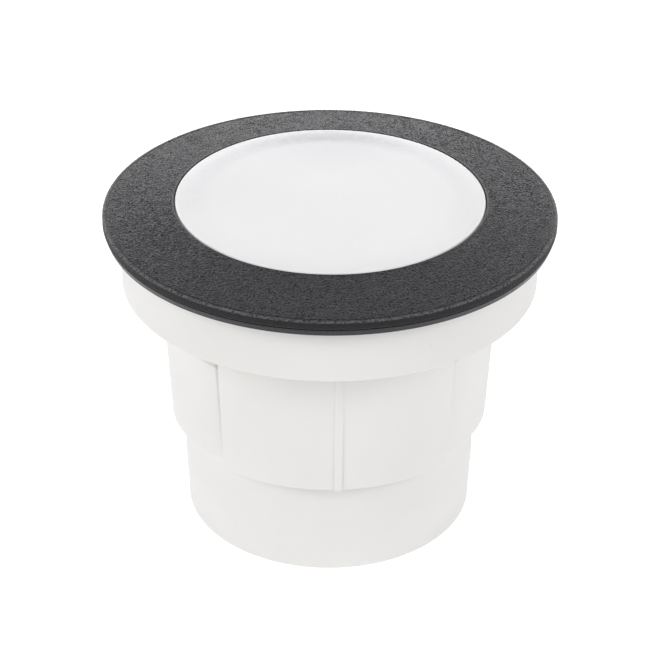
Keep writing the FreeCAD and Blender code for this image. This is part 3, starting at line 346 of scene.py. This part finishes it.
def component_cases():
    """Driver parts: each gets its own tone from its place on the board."""
    m = Mat("driver_black")
    xyz = m.xyz()
    left = m.remap(xyz["X"], -0.0096, -0.0094, 1.0, 0.0)
    film = m.math("MULTIPLY", m.remap(xyz["Y"], 0.0098, 0.0099, 0.0, 1.0), m.remap(xyz["X"], 0.0030, 0.0040, 1.0, 0.0))
    n = m.noise(500.0, 3.0, 0.6)
    c = m.mix(left, srgb(36, 36, 38), srgb(28, 44, 74))
    c = m.mix(film, c, srgb(150, 52, 34))
    c = m.mix(m.math("MULTIPLY", m.remap(n, 0.4, 0.7, 0.0, 1.0), 0.4), c, srgb(92, 92, 94))
    m.base(c)
    m.rough(m.remap(n, 0.3, 0.7, 0.35, 0.55))
    m.bump(n, 0.15, 0.00005)
    return m.m


def floor_paper():
    """Matt white paper, softly lit from below like a light table."""
    m = Mat("floor_paper")
    n = m.noise(6.0, 3.0, 0.5)
    m.base(m.mix(m.remap(n, 0.3, 0.7, 0.0, 1.0), (0.84, 0.84, 0.84), (0.86, 0.86, 0.86)))
    m.rough(m.remap(m.noise(40.0), 0.3, 0.7, 0.85, 0.95))
    m.bump(m.noise(200.0), 0.05, 0.0002)
    m.b.inputs["Emission Color"].default_value = (1.0, 1.0, 1.0, 1.0)
    m.b.inputs["Emission Strength"].default_value = FLOOR_GLOW
    return m.m


LOOK = {
    "body_resin": body_resin(),
    "ring_resin": ring_resin(),
    "lens_opal": lens_opal(),
    "seal_rubber": rubber("seal_rubber"),
    "reflector_white": plastic("reflector_white", (240, 240, 238), (246, 246, 245), (0.12, 0.22), strength=0.05),
    "screw_steel": metal("screw_steel", (196, 197, 199), (172, 173, 176), (0.25, 0.42), brushed=4.0, scale=260.0),
    "plate_grey": plastic("plate_grey", (188, 190, 190), (198, 200, 200), (0.4, 0.55)),
    "holder_resin": plastic("holder_resin", (226, 222, 210), (234, 231, 221), (0.35, 0.5), sss=0.08),
    "contact_brass": metal("contact_brass", (206, 170, 96), (184, 146, 78), (0.2, 0.36), brushed=3.0),
    "lamp_white": plastic("lamp_white", (238, 238, 235), (244, 244, 242), (0.15, 0.26), strength=0.05),
    "lamp_opal": plastic("lamp_opal", (244, 244, 240), (249, 249, 246), (0.3, 0.42), sss=0.5),
    "spreader_alloy": metal("spreader_alloy", (206, 208, 210), (190, 192, 195), (0.3, 0.5), brushed=6.0),
    "led_board_white": led_board(),
    "led_phosphor": phosphor(),
    "driver_laminate": laminate(),
    "driver_black": component_cases(),
    "pin_nickel": metal("pin_nickel", (204, 200, 192), (188, 183, 174), (0.12, 0.24)),
    "terminal_clear": plastic("terminal_clear", (230, 227, 216), (238, 236, 227), (0.28, 0.4), sss=0.3),
    "lead_brown": plastic("lead_brown", (104, 58, 32), (118, 68, 38), (0.32, 0.46)),
    "lead_blue": plastic("lead_blue", (34, 66, 150), (42, 80, 170), (0.32, 0.46)),
    "gland_nylon": plastic("gland_nylon", (54, 54, 57), (64, 64, 67), (0.36, 0.52), strength=0.2),
}

slots = {s["node"]: s["material_slot"] for s in frame["record"]["subparts"]}
for name, o in NODES.items():
    o.data.materials.clear()
    o.data.materials.append(LOOK[slots[name]])


# ------------------------------------------------------------------ trim ring
# The ring is made again as one turned skin on a fine grid, so that its leather
# grain is real relief. Sizes follow the CAD ring.
MM = 0.001


def value_noise(x, y, seed):
    """Smooth lattice noise on two arrays, from 0 to 1."""
    xi, yi = np.floor(x).astype(np.int64), np.floor(y).astype(np.int64)
    xf, yf = x - xi, y - yi

    def h(a, b):
        v = (a * 374761393 + b * 668265263 + seed * 974634777) & 0x7FFFFFFF
        v = ((v ^ (v >> 13)) * 1274126177) & 0x7FFFFFFF
        return ((v ^ (v >> 16)) & 0xFFFF) / 65535.0

    u, w = xf * xf * (3 - 2 * xf), yf * yf * (3 - 2 * yf)
    a = h(xi, yi) * (1 - u) + h(xi + 1, yi) * u
    b = h(xi, yi + 1) * (1 - u) + h(xi + 1, yi + 1) * u
    return a * (1 - w) + b * w


def cells(x, y, seed):
    """Distance to the nearest and to the second nearest scattered point."""
    xi, yi = np.floor(x).astype(np.int64), np.floor(y).astype(np.int64)
    f1 = np.full(x.shape, 9.0)
    f2 = np.full(x.shape, 9.0)
    for dx in (-1, 0, 1):
        for dy in (-1, 0, 1):
            cx, cy = xi + dx, yi + dy

            def h(k):
                v = (cx * 73856093 ^ cy * 19349663 ^ (seed + k) * 83492791) & 0x7FFFFFFF
                v = ((v ^ (v >> 15)) * 2246822519) & 0x7FFFFFFF
                v = ((v ^ (v >> 13)) * 3266489917) & 0x7FFFFFFF
                return ((v ^ (v >> 16)) & 0xFFFF) / 65535.0

            d = np.hypot(cx + h(1) - x, cy + h(2) - y)
            nf1 = np.minimum(f1, d)
            f2 = np.where(d < f1, f1, np.minimum(f2, d))
            f1 = nf1
    return f1, f2


def stipple(x, y, pitch, seed):
    """Round bumps of one size, scattered, from 0 to 1."""
    f1, f2 = cells(x / pitch, y / pitch, seed)
    d = np.clip(1.0 - f1 / 0.62, 0, 1)
    return d * d * (3 - 2 * d)


def grain(x, y):
    """Pebbled grain in millimetres of relief at the plan position x, y (mm)."""
    wx = x + 0.4 * (value_noise(x / 1.9, y / 1.9, 3) - 0.5)
    wy = y + 0.4 * (value_noise(x / 1.9, y / 1.9, 4) - 0.5)
    a = stipple(wx, wy, 0.84, 11)
    b = stipple(wx, wy, 1.25, 23)
    tops = 0.6 + 0.8 * value_noise(x / 1.3, y / 1.3, 8)
    return (0.19 * a + 0.08 * b) * tops


def ring_mesh():
    n = 2400
    # each row: r, z, grain amount, direction of the grain (outwards, up), along
    prof = []
    R, EZ, HR, HZ, LZ, RD = 80.0, 119.5, 54.9, 123.2, 113.9, 0.4
    top = (R - RD - HR - 0.35)
    # window edge, from the underside up
    prof += [(56.5, 119.9, 0, 0, 1), (54.95, 121.1, 0, 0, 1), (HR, 122.2, 0, 0, 1), (HR, HZ - 0.35, 0, 0, 1)]
    for k in range(1, 5):
        a = math.pi / 2 * k / 4
        prof.append((HR + 0.35 * (1 - math.cos(a)), HZ - 0.35 + 0.35 * math.sin(a), 0, 0, 1))
    steps = 112
    for k in range(1, steps + 1):
        f = k / steps
        r = HR + 0.35 + top * f
        z = HZ + (EZ - HZ) * f
        field = min(1.0, (r - HR - 0.4) / 0.6) * min(1.0, max(0.0, (78.35 - r) / 0.3))
        edge = 0.5 * min(1.0, max(0.0, (r - 78.75) / 0.2))
        groove = -0.22 * math.exp(-(((r - 78.5) / 0.22) ** 2))
        bead = 0.04 * math.exp(-(((r - 79.15) / 0.3) ** 2))
        prof.append((r, z + bead + groove, max(0.0, field) + edge, 0, 1))
    # crisp corner
    for k in range(1, 5):
        a = math.pi / 2 * k / 4
        prof.append((R - RD + RD * math.sin(a), EZ - RD + RD * math.cos(a), 0.4, math.sin(a), math.cos(a)))
    # wall: a grained upper band, a fine step, and a smooth drafted lower band
    for k in range(1, 9):
        z = EZ - RD - (EZ - RD - 116.95) * k / 8
        prof.append((R, z, 0.4 if k < 8 else 0.0, 1, 0))
    prof += [(R - 0.05, 116.8, 0, 1, 0), (R - 0.5, 116.65, 0, 1, 0), (R - 0.5, 116.4, 0, 1, 0), (R - 0.22, 116.25, 0, 1, 0), (R - 0.4, 115.6, 0, 1, 0), (R - 0.7, 114.9, 0, 1, 0), (R - 0.86, 114.5, 0, 1, 0)]
    for k in range(1, 5):
        a = math.pi / 2 * k / 4
        prof.append((R - 1.3 + 0.4 * math.cos(a), LZ + 0.4 - 0.4 * math.sin(a), 0, 1, 0))
    prof += [(r, z, 0, 1, 0) for r, z in (
        (69.6, LZ), (68.75, LZ - 0.35), (68.4, LZ - 1.2), (68.4, 106.0), (68.4, 99.4), (68.28, 99.12), (68.0, 99.0),
        (66.0, 99.0), (66.0, 106.0), (66.0, 118.2), (63.6, 118.2), (63.6, 116.8), (60.6, 116.8), (60.6, 119.3))]
    P = np.array(prof)
    m = len(P)
    th = np.arange(n) * (2 * math.pi / n)
    c, s = np.cos(th), np.sin(th)
    r = P[:, 0][:, None] * np.ones(n)
    z = P[:, 1][:, None] * np.ones(n)
    x, y = r * c, r * s
    wall = P[:, 3] > 0.5
    g = np.where(wall[:, None], grain(80.0 * th[None] + 0 * x, z + 300.0), grain(x, y)) - 0.19
    z = z + g * (P[:, 2] * P[:, 4])[:, None]
    r = r + np.minimum(g, 0.0) * (P[:, 2] * P[:, 3])[:, None]
    x, y = r * c, r * s
    co = np.stack([x, y, z], -1).reshape(-1, 3) * MM
    i = np.arange(m)[:, None] * n + np.arange(n)[None]
    i1 = ((np.arange(m) + 1) % m)[:, None] * n + np.arange(n)[None]
    j = np.roll(i, -1, axis=1)
    j1 = np.roll(i1, -1, axis=1)
    quads = np.stack([i1, j1, j, i], -1).reshape(-1, 4)
    me = bpy.data.meshes.new("ring_skin")
    me.from_pydata(co.tolist(), [], quads.tolist())
    me.update()
    # lugs, as closed blocks that run into the skirt
    bm = bmesh.new()
    bm.from_mesh(me)
    for q in range(4):
        mid = math.radians(45 + 90 * q)
        half = math.radians(12.0)
        k = 16
        rows = []
        for f in range(k + 1):
            a = mid - half + 2 * half * f / k
            ca, sa = math.cos(a), math.sin(a)
            rows.append([bm.verts.new(Vector((rr * ca, rr * sa, zz)) * MM) for rr, zz in ((67.6, 99.6), (70.7, 99.6), (71.0, 99.9), (71.0, 102.7), (70.7, 103.0), (67.6, 103.0))])
        for a, b in zip(rows, rows[1:]):
            for e in range(6):
                e2 = (e + 1) % 6
                bm.faces.new((a[e], a[e2], b[e2], b[e]))
        bm.faces.new(list(reversed(rows[0])))
        bm.faces.new(rows[-1])
    bmesh.ops.recalc_face_normals(bm, faces=bm.faces)
    bm.to_mesh(me)
    bm.free()
    for p in me.polygons:
        p.use_smooth = True
    o = bpy.data.objects.new("ring_skin", me)
    scene.collection.objects.link(o)
    o.data.materials.append(LOOK["ring_resin"])
    mod = o.modifiers.new("edges", "EDGE_SPLIT")
    mod.split_angle = math.radians(38)
    return o


ring = ring_mesh()
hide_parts("trim_ring")
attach(ring, "ring")

# ------------------------------------------------------------------ stage
bm = bmesh.new()
rows = []
depth = [(-3.0, 0.0), (1.2, 0.0)]
for k in range(1, 13):
    a = math.pi / 2 * k / 12
    depth.append((1.2 + 0.8 * math.sin(a), 0.8 * (1 - math.cos(a))))
depth.append((2.0, 3.5))
for y, z in depth:
    rows.append([bm.verts.new((x, y, z)) for x in (-3.5, 3.5)])
for a, b in zip(rows, rows[1:]):
    bm.faces.new((a[0], a[1], b[1], b[0]))
me = bpy.data.meshes.new("backdrop")
bm.to_mesh(me)
bm.free()
for p in me.polygons:
    p.use_smooth = True
floor = bpy.data.objects.new("backdrop", me)
scene.collection.objects.link(floor)
floor.data.materials.append(floor_paper())

# ------------------------------------------------------------------ light
world = bpy.data.worlds.new("studio")
scene.world = world
world.use_nodes = True
bg = world.node_tree.nodes["Background"]
bg.inputs[0].default_value = (1.0, 1.0, 1.0, 1.0)
bg.inputs[1].default_value = 0.21


def area(name, loc, aim, size, power):
    d = bpy.data.lights.new(name, "AREA")
    d.shape = "RECTANGLE"
    d.size, d.size_y = size
    d.energy = power
    o = bpy.data.objects.new(name, d)
    scene.collection.objects.link(o)
    o.location = loc
    o.rotation_mode = "QUATERNION"
    o.rotation_quaternion = (Vector(aim) - Vector(loc)).to_track_quat("-Z", "Y")
    return o


area("key", (-1.25, -0.75, 0.95), (0, 0, 0.06), (0.9, 1.1), 15.6)
area("fill", (1.25, -0.85, 0.85), (0, 0, 0.06), (0.9, 1.1), 9.8)
area("soft", (0.8, -1.0, 1.3), (0, 0, 0.06), (0.9, 0.9), 4.7)
area("back", (0.0, 1.3, 0.40), (0, 0, 0.1), (1.6, 0.35), 4.6)

# ------------------------------------------------------------------ camera
CAM_D, CAM_E, CAM_A = 0.7922, math.radians(31.0), math.radians(-4.9)
ROLL, FOCAL_PX = math.radians(1.23), 2174.0
PX, PZ = 0.01972, 0.0686
SHIFT_PX = 52.4  # the photograph is a crop from left of its optical centre
back = Vector((math.sin(CAM_A) * math.cos(CAM_E), -math.cos(CAM_A) * math.cos(CAM_E), math.sin(CAM_E)))
right = Vector((math.cos(CAM_A), math.sin(CAM_A), 0.0))
up = back.cross(right)
r2 = right * math.cos(ROLL) + up * math.sin(ROLL)
u2 = up * math.cos(ROLL) - right * math.sin(ROLL)
cam_data = bpy.data.cameras.new("camera")
cam_data.sensor_width = 36.0
cam_data.lens = 36.0 * FOCAL_PX / 663.0
cam_data.shift_x = -SHIFT_PX / 663.0
cam_data.clip_start, cam_data.clip_end = 0.01, 20.0
cam = bpy.data.objects.new("camera", cam_data)
scene.collection.objects.link(cam)
cam.matrix_world = Matrix.Translation(right * PX + Vector((0, 0, PZ)) + back * CAM_D) @ Matrix((r2, u2, back)).transposed().to_4x4()
scene.camera = cam
scene.view_settings.view_transform = "Standard"
scene.view_settings.look = "None"
